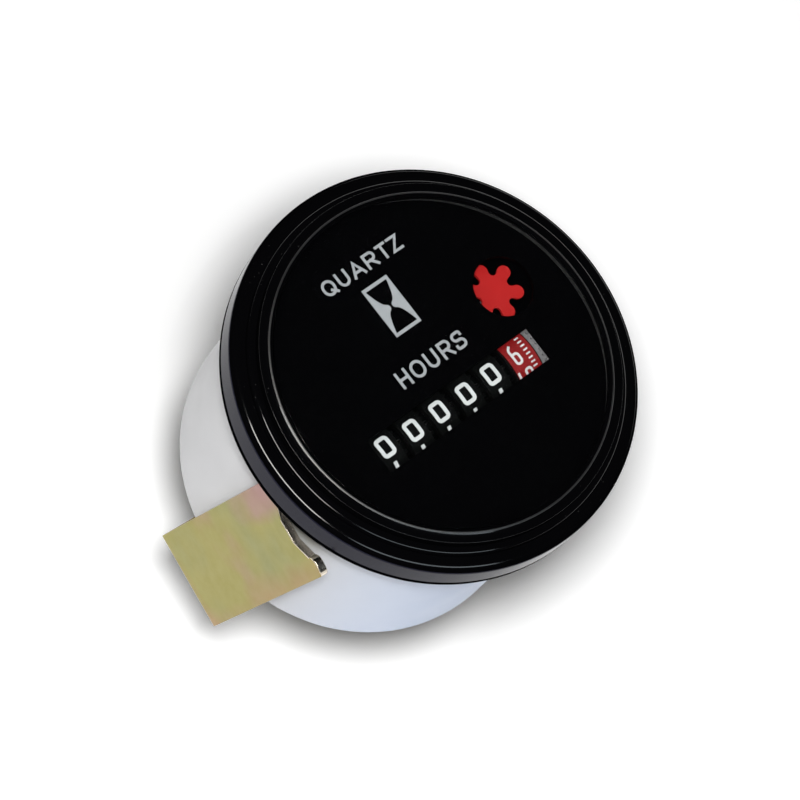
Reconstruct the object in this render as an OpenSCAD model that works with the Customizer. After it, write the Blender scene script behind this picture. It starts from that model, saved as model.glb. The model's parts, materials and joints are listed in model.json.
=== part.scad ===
// Round panel hour meter with a six-wheel counter, a turning run indicator and a U-shaped clamp bracket.
// The dial faces +Z, dial right is +X and dial up is +Y. The origin lies on the axis, on the face that
// seats against the panel.

/* [Case] */
// Diameter of the housing behind the panel
body_d = 52; // [51.6:0.1:52.2]
// Distance that the bezel stands out past the housing's wall
bezel_lip = 3.3; // [3:0.1:4]
// Height of the bezel's rim above the panel
bezel_t = 6.2; // [5.8:0.1:6.8]
// Height of the crown above the bezel's rim
crown_h = 2.4; // [2.1:0.1:2.8]
// Depth of the housing behind the panel
body_depth = 34.5; // [34.2:0.1:38]
// Thickness of the housing's floor
floor_t = 2; // [1.6:0.1:2.2]

/* [Dial] */
// Width of the ring between the clear opening and the housing's outside
face_w = 2; // [1.8:0.1:2.6]
// Thickness of the dial plate
dial_t = 0.8; // [0.5:0.1:1]
// Height of the counter window
window_h = 5.3; // [4.8:0.1:5.5]
// Distance of the run indicator to the right of the axis
star_x = 15.3; // [15.1:0.1:15.8]
// Distance of the run indicator above the axis
star_y = 4.2; // [4.1:0.1:4.7]
// Radius of the indicator star
star_r = 4.3; // [3.8:0.1:4.4]
// Radius of the indicator hole in the dial
star_hole_r = 4.4; // [4.2:0.1:4.6]

/* [Counter] */
// Height of the counter row above the axis
row_y = -5; // [-5.4:0.1:-4.9]
// Centre of the first digit, measured from the axis
first_x = -13.05; // [-13.25:0.05:-12.85]
// Distance from one digit to the next
pitch = 4.82; // [4.8:0.02:4.88]
// Radius of the number wheels
drum_r = 6.2; // [5.9:0.05:6.25]
// Radius of the wheel shaft
shaft_r = 0.8; // [0.6:0.05:0.9]

/* [Bracket] */
// Width of the clamp bracket
leg_w = 15.1; // [14:0.1:15.2]
// Length of each bracket leg
leg_len = 46; // [44:0.1:46.1]
// Thickness of the bracket's sheet
sheet = 1.2; // [1:0.1:1.4]
// Gap between the housing's back and the bracket's bar
bar_gap = 11.2; // [11.1:0.1:13]
// Angle by which the loose bracket leans on its studs
rock = 8.5; // [0:0.5:8.5]
// Turn of the studs and the bracket about the meter's axis
clamp_turn = -4.8; // [-6:0.2:6]
// Distance of the studs' line above the meter's axis
clamp_y = -1.5; // [-2:0.1:2]

/* [Fasteners] */
// Diameter of the mounting studs
stud_d = 4; // [3.5:0.1:4]
// Distance of each stud from the bracket's middle
stud_x = 16; // [15:0.1:16.5]
// Width of a nut across its flats
nut_af = 7; // [6.5:0.1:7.4]
// Width of a terminal blade
blade_w = 6.3; // [5.8:0.1:6.5]
// Thickness of a terminal blade
blade_t = 0.8; // [0.7:0.1:1]

/* [Hidden] */
$fn = 64;

// Play of a running shaft, and the gap kept between pieces that are only assembled
run_play = 0.05;
fit_play = 0.15;
// Small overlap that lets a cut pass through a face
cut = 1;

// Bezel and lens levels
body_r = body_d / 2;
bezel_r = body_r + bezel_lip;
open_r = body_r - face_w;
lip_t = 1.2;
skirt_r = bezel_r - 0.95;
roll_r = 0.4;
rim_r = 1.2;
edge_r = 0.6;
step_r = bezel_r - 2.3;
step_h = 0.4;
step_edge = 0.3;
crown_z = bezel_t + crown_h;
bead_r = 0.45;
bead_at = open_r + bead_r;
bead_from = 40;
crown_flat = crown_z - bead_r * (1 - sin(bead_from));
crown_out = bead_at + 1.5;
crown_edge = 0.2;
crown_foot = 0.05;
face_drop = 0.8;
face_z = bezel_t - face_drop;
dial_z = face_z - dial_t;
lens_gap = 1.3;
lens_z = face_z + lens_gap;
lens_flange_t = 0.7;
lens_seat_z = lens_z + lens_flange_t;
lens_flange_r = open_r + 1.5;
lens_sink = 0.3;
pocket_r = lens_flange_r + fit_play;

// Housing levels
wall_t = 1.6;
inner_r = body_r - wall_t;
ledge_r = inner_r - 1.3;
flange_t = 2;
back_z = -body_depth;
floor_z = back_z + floor_t;

// Movement levels, from the dial to the back
axle_z = dial_z - 0.3 - drum_r;
pinion_teeth = 8;
wheel_teeth = 20;
carry_module = 0.5;
pinion_drop = carry_module * (wheel_teeth + pinion_teeth) / 2;
pinion_z = axle_z - pinion_drop;
strap_t = 0.8;
plate_t = 1.5;
plate_top = pinion_z - carry_module * (pinion_teeth / 2 + 1) - 1 - strap_t;
plate_z = plate_top - plate_t;
train_gap = 0.5;
train_top = plate_z - train_gap;
train_t = 1.2;
stator_t = 1;
stator_drop = 3.9;
stator_top = plate_z - stator_drop;
motor_room = 6.7;
rear_top = plate_z - motor_room;
rear_t = 1.2;
rear_z = rear_top - rear_t;
pivot_z = rear_z + 0.4;
board_t = 1.2;
board_room = 2.8;
board_top = rear_z - board_room;
board_z = board_top - board_t;

// Counter places along its shaft
wheel_count = 5;
digit_x = [for (i = [0:wheel_count]) first_x + i * pitch];
rim_left = 1.65;
rim_w = 3.6;
rim_right = rim_w - rim_left;
side_gear_w = 0.85;
carry_w = 0.65;
carry_left = rim_right + 0.1;
tenths_left = 1.86;
tenths_w = 4.86;
gear_x = digit_x[wheel_count] - tenths_left + tenths_w;
collar_w = 1.1;
collar_drop = 0.35;
gear_w = 2;
cheek_t = 0.8;
cheek_left = digit_x[0] - rim_left - 0.3 - cheek_t;
cheek_right = gear_x + gear_w + 0.4;
cheek_half = 3.4;
window_left = digit_x[0] - 2.2;
window_right = gear_x + collar_w / 2;
window_mid = row_y - 0.35;
// The dial's indicator hole lies a little low and right of the indicator's arbor
hole_at = [star_x + 0.25, star_y - 0.35];

// Drive train: worm on the counter's gear, then spur gears behind the movement plate
drive_teeth = 40;
drive_root = drum_r - 0.7;
worm_lead = 2 * PI * (drum_r - 0.3) / drive_teeth;
worm_mid = 0.9;
worm_swing = 0.35;
worm_depth = 0.3;
worm_len = 3.4 * worm_lead;
worm_at = [gear_x + (collar_w + gear_w) / 2, row_y - drum_r - worm_mid - worm_swing + worm_depth];
star_at = [star_x, star_y];
train_module = 0.3;
small_teeth = 20;
large_teeth = 60;
rotor_teeth = 10;
small_reach = train_module * (small_teeth + large_teeth) / 2;
rotor_reach = train_module * (rotor_teeth + large_teeth) / 2;
train_span = worm_at - star_at;
train_half = norm(train_span) / 2;
train_side = [train_span[1], -train_span[0]] / norm(train_span);
train_at = (star_at + worm_at) / 2 + train_side * sqrt(small_reach * small_reach - train_half * train_half);
rotor_turn = 150;
rotor_at = train_at + rotor_reach * [cos(rotor_turn), sin(rotor_turn)];
arbor_r = 0.6;
star_top = dial_z - 1.8;
star_t = 0.5;
lobe_turn = 26.5;
lobe_r = 1;
notch_r = 0.62;
star_core = 0.55 * star_r;
star_z = star_top - star_t;

// Motor: a flat stator frame with the coil on its far bar
rotor_r = 2.3;
rotor_gap = 0.45;
stator_half = 5.5;
stator_right = 5.5;
stator_left = 14;
core_w = 2.5;
coil_r = 2.2;
coil_len = 5.6;

// Bracket and fasteners
bar_z = back_z - bar_gap - sheet / 2;
leg_in = body_r + 0.4;
leg_out = leg_in + sheet;
bend_r = 2.6;
foot_r = 1.1;
foot_w = 3;
recess_w = 3.4;
recess_d = 3;
stud_r = stud_d / 2;
stud_end = bar_z - 8;
stud_head_r = stud_r + 1.4;
stud_head_t = 1.5;
washer_t = 0.8;
washer_r = nut_af / 2 + 0.4;
nut_t = 3.2;
nut_top = bar_z - (sheet / 2 + washer_t) / cos(rock) - nut_af / 2 * tan(rock);
blade_x = 7;
blade_y = 14.5;
blade_end = back_z - 8.5;
blade_tail = 2;
pillar_r = 1.6;
pillar_reach = ledge_r - 3;
pillar_turns = [60, 200, 290];
post_turns = [90, 215, 325];
post_reach = 17;

// Points of an arc, from the first angle to the last
function arc(centre, r, from, to, steps = 5) =
    [for (i = [0:steps]) centre + r * [cos(from + (to - from) * i / steps), sin(from + (to - from) * i / steps)]];

// Outline of a spur gear with straight-sided teeth and free running play, one tooth pointing along the phase
function gear_points(teeth, size, phase) =
    let (mid = size * teeth / 2, step = 360 / teeth)
    [for (i = [0:teeth - 1], side = [[-0.27, -1.15], [-0.1, 0.75], [0.1, 0.75], [0.27, -1.15]])
        let (turn = phase + step * (i + side[0]), r = mid + size * side[1]) r * [cos(turn), sin(turn)]];

// Phase of a gear that meshes with another one whose centre lies the other way along the direction
function mesh_phase(direction, phase, teeth, mate_teeth) =
    direction + 180 - (phase - direction) * teeth / mate_teeth + 180 / mate_teeth;

function heading(from, to) = atan2(to[1] - from[1], to[0] - from[0]);

module turned(points) {
    rotate_extrude() polygon(points);
}

// Lays a piece that was made along +Z along the counter shaft instead, starting at x
module along_shaft(x, y, z) {
    translate([x, y, z]) rotate([90, 0, 90]) children();
}

module at_studs() {
    for (side = [-1, 1]) translate([side * stud_x, 0, 0]) children();
}

// Places the studs and the bracket on their own line across the back
module clamped() {
    rotate(clamp_turn) translate([0, clamp_y, 0]) children();
}

// Places a piece in the leaning bracket's own frame, with the bar's middle on the stud line
module leaning() {
    clamped() translate([0, 0, bar_z]) rotate([rock, 0, 0]) children();
}

// Case

module bezel() {
    color([0.06, 0.06, 0.07]) turned(concat(
        [[body_r + fit_play, 0]],
        arc([bezel_r - roll_r, roll_r], roll_r, -90, 0),
        arc([bezel_r - rim_r, bezel_t - rim_r], rim_r, 0, 90),
        [[step_r, bezel_t]],
        arc([step_r - step_edge, bezel_t + step_h - step_edge], step_edge, 0, 90, 3),
        [[crown_out + crown_foot, bezel_t + step_h]],
        arc([crown_out - crown_edge, crown_flat - crown_edge], crown_edge, 5, 90, 3),
        arc([bead_at, crown_z - bead_r], bead_r, bead_from, 180),
        [[open_r, lens_seat_z], [pocket_r, lens_seat_z], [pocket_r, face_z + 0.2]],
        [[skirt_r, lip_t + flange_t + 0.2], [skirt_r, lip_t], [body_r + fit_play, lip_t]]
    ));
}

module lens() {
    edge = open_r - fit_play;
    color([0.85, 0.9, 0.92, 0.25]) turned([
        [0, lens_z], [lens_flange_r, lens_z], [lens_flange_r, lens_seat_z], [edge, lens_seat_z],
        [edge, crown_z - lens_sink - 0.35], [edge - 0.5, crown_z - lens_sink], [0, crown_z - lens_sink]
    ]);
}

module lens_gasket() {
    inner = open_r + 0.3;
    color([0.1, 0.1, 0.1])
        turned([[inner, face_z], [lens_flange_r, face_z], [lens_flange_r, lens_z], [inner, lens_z]]);
}

module dial_plate() {
    color([0.03, 0.03, 0.035]) difference() {
        translate([0, 0, dial_z]) cylinder(h = dial_t, r = lens_flange_r);
        translate([window_left, window_mid - window_h / 2, dial_z - cut])
            cube([window_right - window_left, window_h, dial_t + 2 * cut]);
        translate([hole_at[0], hole_at[1], dial_z - cut]) cylinder(h = dial_t + 2 * cut, r = star_hole_r);
    }
}

module blade_slot(side, extra = 0) {
    translate([side * blade_x - blade_w / 2, blade_y - blade_t / 2, back_z - extra])
        cube([blade_w, blade_t, floor_t + 2 * extra]);
}

module housing() {
    color([0.86, 0.87, 0.88]) difference() {
        union() {
            turned(concat(
                [[0, back_z]],
                arc([body_r - edge_r, back_z + edge_r], edge_r, -90, 0),
                [[body_r, lip_t], [skirt_r - fit_play, lip_t], [skirt_r - fit_play, lip_t + flange_t]],
                [[body_r, lip_t + flange_t], [body_r - 0.1, dial_z], [inner_r, dial_z], [inner_r, plate_z]],
                [[ledge_r, plate_z], [ledge_r, floor_z], [0, floor_z]]
            ));
            for (turn = post_turns) rotate(turn) translate([post_reach, 0, floor_z - floor_t / 2])
                cylinder(h = board_z - floor_z + floor_t / 2, r = 2);
        }
        clamped() at_studs() translate([0, 0, back_z - cut])
            cylinder(h = floor_t + 2 * cut, r = stud_r + fit_play);
        for (side = [-1, 1]) blade_slot(side, cut);
    }
}

// Clamp bracket, its studs, nuts and washers

module bracket_section() {
    difference() {
        union() {
            translate([-leg_out + bend_r, -sheet / 2]) square([2 * (leg_out - bend_r), bend_r]);
            translate([-leg_out, bend_r - sheet / 2]) square([2 * leg_out, leg_len - bend_r]);
            for (side = [-1, 1]) translate([side * (leg_out - bend_r), bend_r - sheet / 2]) circle(r = bend_r);
        }
        translate([-leg_in + bend_r - sheet, sheet / 2]) square([2 * (leg_in - bend_r + sheet), bend_r]);
        translate([-leg_in, bend_r - sheet / 2]) square([2 * leg_in, leg_len]);
        for (side = [-1, 1]) translate([side * (leg_out - bend_r), bend_r - sheet / 2])
            circle(r = bend_r - sheet);
    }
}

// Side view of a leg: two round-cornered feet with a sloping recess between them
module bracket_side() {
    top = leg_len - sheet / 2;
    foot_out = leg_w / 2 - foot_r;
    foot_in = leg_w / 2 - foot_w + foot_r;
    polygon(concat(
        [[-leg_w / 2, -sheet], [leg_w / 2, -sheet]],
        arc([foot_out, top - foot_r], foot_r, 0, 90),
        arc([foot_in, top - foot_r], foot_r, 90, 180),
        [[recess_w / 2, top - recess_d], [-recess_w / 2, top - recess_d]],
        arc([-foot_in, top - foot_r], foot_r, 0, 90),
        arc([-foot_out, top - foot_r], foot_r, 90, 180)
    ));
}

module mounting_bracket() {
    color([0.8, 0.74, 0.5]) leaning() difference() {
        intersection() {
            translate([0, leg_w / 2 + cut, 0]) rotate([90, 0, 0])
                linear_extrude(leg_w + 2 * cut) bracket_section();
            translate([-leg_out - cut, 0, 0]) rotate([90, 0, 90])
                linear_extrude(2 * (leg_out + cut)) bracket_side();
        }
        at_studs() cylinder(h = 4 * sheet, r = stud_r + 0.6, center = true);
    }
}

module mounting_studs() {
    color([0.7, 0.71, 0.72]) clamped() at_studs() turned([
        [0, stud_end], [stud_r - 0.5, stud_end], [stud_r, stud_end + 0.5], [stud_r, floor_z],
        [stud_head_r, floor_z], [stud_head_r, floor_z + stud_head_t], [0, floor_z + stud_head_t]
    ]);
}

module lock_washers() {
    bore = stud_r + 0.4;
    color([0.72, 0.73, 0.74]) leaning() at_studs() turned([
        [bore, -sheet / 2 - washer_t], [washer_r, -sheet / 2 - washer_t], [washer_r, -sheet / 2], [bore, -sheet / 2]
    ]);
}

module stud_nuts() {
    color([0.75, 0.75, 0.76]) clamped() at_studs() translate([0, 0, nut_top - nut_t]) difference() {
        cylinder(h = nut_t, r = nut_af / 2 / cos(30), $fn = 6);
        translate([0, 0, -cut]) cylinder(h = nut_t + 2 * cut, r = stud_r + run_play);
    }
}

module terminal_blades() {
    shoulder = 1.2;
    color([0.78, 0.76, 0.7]) for (side = [-1, 1]) translate([side * blade_x, blade_y, 0]) difference() {
        rotate([90, 0, 0]) linear_extrude(blade_t, center = true) union() {
            polygon([
                [-blade_w / 2 + 1, blade_end], [blade_w / 2 - 1, blade_end], [blade_w / 2, blade_end + 1],
                [blade_w / 2, floor_z], [-blade_w / 2, floor_z], [-blade_w / 2, blade_end + 1]
            ]);
            translate([-blade_w / 2 - 0.5, floor_z]) square([blade_w + 1, shoulder]);
            translate([-blade_tail / 2, floor_z]) square([blade_tail, board_z - floor_z]);
        }
        translate([0, 0, blade_end + 3.2]) rotate([90, 0, 0]) cylinder(h = 4 * blade_t, r = 0.8, center = true);
    }
}

// Movement plates

module arbor_holes(z, h) {
    for (place = [worm_at, star_at, train_at, rotor_at]) translate([place[0], place[1], z - cut])
        cylinder(h = h + 2 * cut, r = arbor_r + run_play);
}

module movement_plate() {
    color([0.1, 0.1, 0.11]) difference() {
        translate([0, 0, plate_z]) cylinder(h = plate_t, r = inner_r - fit_play);
        arbor_holes(plate_z, plate_t);
    }
}

module plate_pillars() {
    color([0.8, 0.7, 0.45]) for (turn = pillar_turns) rotate(turn) translate([pillar_reach, 0, rear_top])
        cylinder(h = plate_z - rear_top, r = pillar_r);
}

module rear_plate() {
    color([0.1, 0.1, 0.11]) difference() {
        union() {
            translate([0, 0, rear_z]) cylinder(h = rear_t, r = ledge_r - 0.4);
            for (dx = [-stator_left + 1.25, stator_right - 1.25], dy = [-1, 1])
                translate([rotor_at[0] + dx, rotor_at[1] + dy * (stator_half - 1.25), rear_z + rear_t / 2])
                    cylinder(h = stator_top - stator_t - rear_z - rear_t / 2, r = 1.1);
        }
        arbor_holes(rear_z, rear_t);
    }
}

// Counter

module counter_frame() {
    bottom = plate_top;
    color([0.12, 0.12, 0.13]) difference() {
        union() {
            for (x = [cheek_left, cheek_right]) {
                along_shaft(x, row_y, axle_z) cylinder(h = cheek_t, r = cheek_half);
                translate([x, row_y - cheek_half, bottom]) cube([cheek_t, 2 * cheek_half, axle_z - bottom]);
            }
            translate([cheek_left, row_y - cheek_half, bottom])
                cube([cheek_right + cheek_t - cheek_left, 2 * cheek_half, strap_t]);
        }
        along_shaft(cheek_left - cut, row_y, axle_z)
            cylinder(h = cheek_right - cheek_left + cheek_t + 2 * cut, r = shaft_r);
        along_shaft(cheek_left - cut, row_y, pinion_z)
            cylinder(h = cheek_right - cheek_left + cheek_t + 2 * cut, r = arbor_r);
    }
}

module wheel_shaft() {
    color([0.7, 0.7, 0.72]) along_shaft(cheek_left, row_y, axle_z)
        cylinder(h = cheek_right + cheek_t - cheek_left, r = shaft_r);
}

module pinion_shaft() {
    color([0.7, 0.7, 0.72]) along_shaft(cheek_left, row_y, pinion_z)
        cylinder(h = cheek_right + cheek_t - cheek_left, r = arbor_r);
}

// A number wheel: printed rim, web and hub, with the carry gear on its right side
module number_wheel(index) {
    hub_r = shaft_r + 1;
    color([0.06, 0.06, 0.065]) along_shaft(digit_x[index] - rim_left, row_y, axle_z) difference() {
        union() {
            turned([
                [shaft_r + run_play, 0], [hub_r, 0], [hub_r, rim_w - 1], [drum_r - 1, rim_w - 1],
                [drum_r - 1, 0], [drum_r, 0], [drum_r, rim_w], [shaft_r + run_play, rim_w]
            ]);
            translate([0, 0, rim_w]) linear_extrude(side_gear_w)
                polygon(gear_points(wheel_teeth, carry_module, -90));
        }
        translate([0, 0, -cut]) cylinder(h = rim_w + side_gear_w + 2 * cut, r = shaft_r + run_play);
    }
}

module tenths_wheel() {
    groove = 0.3;
    color([0.72, 0.1, 0.1]) along_shaft(digit_x[wheel_count] - tenths_left, row_y, axle_z) turned([
        [shaft_r + run_play, 0], [shaft_r + 1, 0], [shaft_r + 1, tenths_w - 1.2],
        [drum_r - 1, tenths_w - 1.2], [drum_r - 1, 0], [drum_r, 0], [drum_r, tenths_w - groove],
        [drum_r - groove, tenths_w - groove], [drum_r - groove, tenths_w], [shaft_r + run_play, tenths_w]
    ]);
}

// Worm gear of the counter, with a plain collar against the red wheel
module drive_gear() {
    step = 360 / drive_teeth;
    color([0.72, 0.73, 0.74]) along_shaft(gear_x, row_y, axle_z) difference() {
        union() {
            cylinder(h = collar_w, r = drum_r - collar_drop);
            translate([0, 0, collar_w / 2]) linear_extrude(gear_w - collar_w / 2) polygon([
                for (i = [0:drive_teeth - 1], side = [[-0.25, 0], [-0.11, 1], [0.11, 1], [0.25, 0]])
                    let (turn = 180 + step * (i + side[0]), r = drive_root + (drum_r - drive_root) * side[1])
                    r * [cos(turn), sin(turn)]
            ]);
        }
        translate([0, 0, -cut]) cylinder(h = gear_w + 2 * cut, r = shaft_r + run_play);
    }
}

module carry_pinion(index) {
    phase = mesh_phase(-90, -90, wheel_teeth, pinion_teeth);
    color([0.85, 0.84, 0.8]) along_shaft(digit_x[index] + carry_left, row_y, pinion_z) difference() {
        linear_extrude(carry_w) polygon(gear_points(pinion_teeth, carry_module, phase));
        translate([0, 0, -cut]) cylinder(h = carry_w + 2 * cut, r = arbor_r + run_play);
    }
}

// Drive train and indicator

train_phase = 0;

module spur(place, teeth, phase) {
    translate([place[0], place[1], train_top - train_t]) linear_extrude(train_t)
        polygon(gear_points(teeth, train_module, phase));
}

module arbor(place, top) {
    translate([place[0], place[1], pivot_z]) cylinder(h = top - pivot_z, r = arbor_r);
}

// Six round lobes with round notches between them
module indicator_star() {
    notch_at = star_core + notch_r;
    color([0.73, 0.12, 0.12]) translate([star_x, star_y, star_z]) difference() {
        union() {
            cylinder(h = star_t, r = notch_at);
            for (i = [0:5]) rotate(lobe_turn + 60 * i)
                translate([star_r - lobe_r, 0, 0]) cylinder(h = star_t, r = lobe_r);
        }
        for (i = [0:5]) rotate(lobe_turn + 30 + 60 * i)
            translate([notch_at, 0, -cut]) cylinder(h = star_t + 2 * cut, r = notch_r);
        translate([0, 0, -cut]) cylinder(h = star_t + cut - 0.3, r = arbor_r);
    }
}

module indicator_arbor() {
    turn = heading(train_at, star_at);
    color([0.74, 0.74, 0.75]) {
        arbor(star_at, star_top - 0.3);
        spur(star_at, small_teeth, mesh_phase(turn, train_phase, large_teeth, small_teeth));
    }
}

module worm_arbor() {
    turn = heading(train_at, worm_at);
    color([0.74, 0.74, 0.75]) {
        arbor(worm_at, axle_z - worm_len / 2);
        spur(worm_at, small_teeth, mesh_phase(turn, train_phase, large_teeth, small_teeth));
    }
}

// Single-start worm on the arbor's end, with a thread gap facing the drive gear at the shaft's height
module drive_worm() {
    turns = worm_len / worm_lead;
    color([0.85, 0.84, 0.8]) translate([worm_at[0], worm_at[1], axle_z - worm_len / 2])
        rotate(-90 - 180 * turns) linear_extrude(worm_len, twist = -360 * turns, slices = 36, segments = 16)
            translate([worm_swing, 0]) circle(r = worm_mid, $fn = 16);
}

module intermediate_gear() {
    color([0.8, 0.72, 0.45]) {
        arbor(train_at, plate_top - 0.4);
        spur(train_at, large_teeth, train_phase);
    }
}

// Stepping motor and electronics

module motor_rotor() {
    turn = heading(train_at, rotor_at);
    color([0.35, 0.35, 0.37]) {
        arbor(rotor_at, plate_top - 0.4);
        spur(rotor_at, rotor_teeth, mesh_phase(turn, train_phase, large_teeth, rotor_teeth));
        translate([rotor_at[0], rotor_at[1], stator_top - stator_t - 0.3])
            cylinder(h = stator_t + 0.6, r = rotor_r);
    }
}

module motor_stator() {
    wide = stator_half - core_w;
    color([0.6, 0.6, 0.62]) translate([rotor_at[0], rotor_at[1], stator_top - stator_t]) difference() {
        translate([-stator_left, -stator_half, 0]) cube([stator_left + stator_right, 2 * stator_half, stator_t]);
        translate([-stator_left + core_w, -wide, -cut])
            cube([stator_left - core_w - rotor_r - 1.4, 2 * wide, stator_t + 2 * cut]);
        translate([0, 0, -cut]) cylinder(h = stator_t + 2 * cut, r = rotor_r + rotor_gap);
    }
}

module motor_coil() {
    color([0.72, 0.4, 0.2]) translate([
        rotor_at[0] - stator_left + core_w / 2, rotor_at[1], stator_top - stator_t / 2
    ]) difference() {
        rotate([90, 0, 0]) cylinder(h = coil_len, r = coil_r, center = true);
        cube([core_w, coil_len + 2 * cut, stator_t], center = true);
    }
}

module circuit_board() {
    color([0.1, 0.35, 0.2]) translate([0, 0, board_z]) cylinder(h = board_t, r = ledge_r - 1);
}

module quartz_crystal() {
    can_r = 1;
    color([0.75, 0.75, 0.77]) translate([-10, -9, board_top + can_r]) {
        rotate([0, 90, 0]) cylinder(h = 6, r = can_r);
        for (dy = [-0.4, 0.4]) translate([-1.2, dy - 0.15, -can_r]) {
            translate([0, 0, can_r - 0.15]) cube([1.4, 0.3, 0.3]);
            cube([0.3, 0.3, can_r]);
        }
    }
}

module driver_chip() {
    color([0.1, 0.1, 0.11]) translate([3, -8, board_top]) cube([6, 4, 1.5]);
}

bezel();
lens();
lens_gasket();
dial_plate();
housing();
mounting_bracket();
mounting_studs();
lock_washers();
stud_nuts();
terminal_blades();
movement_plate();
plate_pillars();
rear_plate();
counter_frame();
wheel_shaft();
pinion_shaft();
number_wheel(0);  // wheel_1
number_wheel(1);  // wheel_2
number_wheel(2);  // wheel_3
number_wheel(3);  // wheel_4
number_wheel(4);  // wheel_5
tenths_wheel();
drive_gear();
carry_pinion(0);  // pinion_1
carry_pinion(1);  // pinion_2
carry_pinion(2);  // pinion_3
carry_pinion(3);  // pinion_4
carry_pinion(4);  // pinion_5
indicator_star();
indicator_arbor();
worm_arbor();
drive_worm();
intermediate_gear();
motor_rotor();
motor_stator();
motor_coil();
circuit_board();
quartz_crystal();
driver_chip();
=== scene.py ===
"""Round panel hour meter: the visible pieces, prints and finishes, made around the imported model."""

import json
import math

import bmesh
import bpy
from mathutils import Matrix, Vector

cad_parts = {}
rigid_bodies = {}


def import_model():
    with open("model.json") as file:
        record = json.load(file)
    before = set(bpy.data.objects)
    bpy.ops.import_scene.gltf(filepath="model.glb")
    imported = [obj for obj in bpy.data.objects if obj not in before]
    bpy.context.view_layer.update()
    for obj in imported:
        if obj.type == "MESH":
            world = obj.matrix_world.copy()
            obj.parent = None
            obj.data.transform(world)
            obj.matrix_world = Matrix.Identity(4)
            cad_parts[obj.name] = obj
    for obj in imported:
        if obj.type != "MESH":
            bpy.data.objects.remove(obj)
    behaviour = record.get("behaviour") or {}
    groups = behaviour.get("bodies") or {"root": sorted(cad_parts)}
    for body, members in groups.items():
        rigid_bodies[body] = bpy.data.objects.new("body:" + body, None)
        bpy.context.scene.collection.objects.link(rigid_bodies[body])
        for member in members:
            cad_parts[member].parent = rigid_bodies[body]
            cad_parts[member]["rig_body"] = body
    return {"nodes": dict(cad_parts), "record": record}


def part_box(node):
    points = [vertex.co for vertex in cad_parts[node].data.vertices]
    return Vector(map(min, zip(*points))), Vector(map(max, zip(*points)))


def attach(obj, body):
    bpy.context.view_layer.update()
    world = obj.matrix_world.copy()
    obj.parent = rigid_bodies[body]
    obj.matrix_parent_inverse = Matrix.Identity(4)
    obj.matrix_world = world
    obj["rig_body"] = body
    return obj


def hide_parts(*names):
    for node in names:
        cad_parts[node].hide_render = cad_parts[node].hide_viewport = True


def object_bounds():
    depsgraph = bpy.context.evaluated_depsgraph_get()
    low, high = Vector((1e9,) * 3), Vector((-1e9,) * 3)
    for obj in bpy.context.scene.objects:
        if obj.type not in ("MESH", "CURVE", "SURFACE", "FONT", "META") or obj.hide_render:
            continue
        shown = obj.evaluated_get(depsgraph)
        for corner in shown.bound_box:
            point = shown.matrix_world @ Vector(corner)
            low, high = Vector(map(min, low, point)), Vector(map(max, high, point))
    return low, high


bl_info = {
    "name": "Panel hour meter",
    "version": (1, 0, 0),
    "blender": (4, 5, 0),
    "location": "View3D > Sidebar > Hour meter",
    "description": "Makes a round panel hour meter with its counter, run indicator and clamp bracket",
    "category": "Object",
}

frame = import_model()
cad_low, cad_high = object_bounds()

MM = 0.001
BEZEL_LOW, BEZEL_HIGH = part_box("bezel")
LENS_LOW, LENS_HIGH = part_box("lens")
DIAL_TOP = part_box("dial_plate")[1].z
RED_LOW, RED_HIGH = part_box("tenths_wheel")
STUD_LOW, STUD_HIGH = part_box("mounting_studs")
ROW_Y = (RED_LOW.y + RED_HIGH.y) / 2
AXLE_Z = (RED_LOW.z + RED_HIGH.z) / 2
DRUM_R = (RED_HIGH.y - RED_LOW.y) / 2
DIGIT_DEGREES = 36
DRUM_PRINT_STEP = 0.35 * MM
LENS_FLANGE_HEIGHT = 0.7 * MM


# Settings

COLOUR = {"subtype": "COLOR", "size": 4, "min": 0, "max": 1}


class CaseSettings(bpy.types.PropertyGroup):
    """Sizes and colours of the case"""
    bezel_colour: bpy.props.FloatVectorProperty(
        name="Bezel colour", description="Black of the gloss bezel",
        default=(0.0012, 0.0012, 0.0015, 1), **COLOUR)
    # Painted cool reflection: the outer wall's black is made bluer than the rest of the bezel, standing for the cool
    # tint of the light it reflects
    wall_colour: bpy.props.FloatVectorProperty(
        name="Wall colour", description="Slightly blue black of the bezel's outer wall",
        default=(0.0045, 0.0045, 0.014, 1), **COLOUR)
    housing_colour: bpy.props.FloatVectorProperty(
        name="Housing colour", description="White of the moulded housing",
        default=(0.6, 0.6, 0.61, 1), **COLOUR)
    # Painted cool light: a bluer white painted on the housing's lower side, standing for the cool fill light there
    housing_cool: bpy.props.FloatVectorProperty(
        name="Housing cool tone", description="Bluer white of the housing's lower side",
        default=(0.61, 0.705, 0.9, 1), **COLOUR)
    dial_colour: bpy.props.FloatVectorProperty(
        name="Dial colour", description="Black of the dial's face",
        default=(0.0004, 0.0004, 0.0006, 1), **COLOUR)
    rim_radius: bpy.props.FloatProperty(
        name="Rim rounding", description="Radius of the bezel's front outer edge", unit="LENGTH",
        default=1.2 * MM, min=0.2 * MM)
    roll_radius: bpy.props.FloatProperty(
        name="Rear rounding", description="Radius of the bezel's rear outer edge", unit="LENGTH",
        default=0.4 * MM, min=0.2 * MM)
    bead_radius: bpy.props.FloatProperty(
        name="Bead radius", description="Radius of the bead round the lens", unit="LENGTH",
        default=0.3 * MM, min=0.1 * MM)
    crown_height: bpy.props.FloatProperty(
        name="Crown height", description="Height of the crown above the bezel's rim", unit="LENGTH",
        default=2.4 * MM, min=0.5 * MM)
    turns: bpy.props.IntProperty(
        name="Segments", description="Segments round the bezel and the lens", default=192, min=32)


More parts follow.
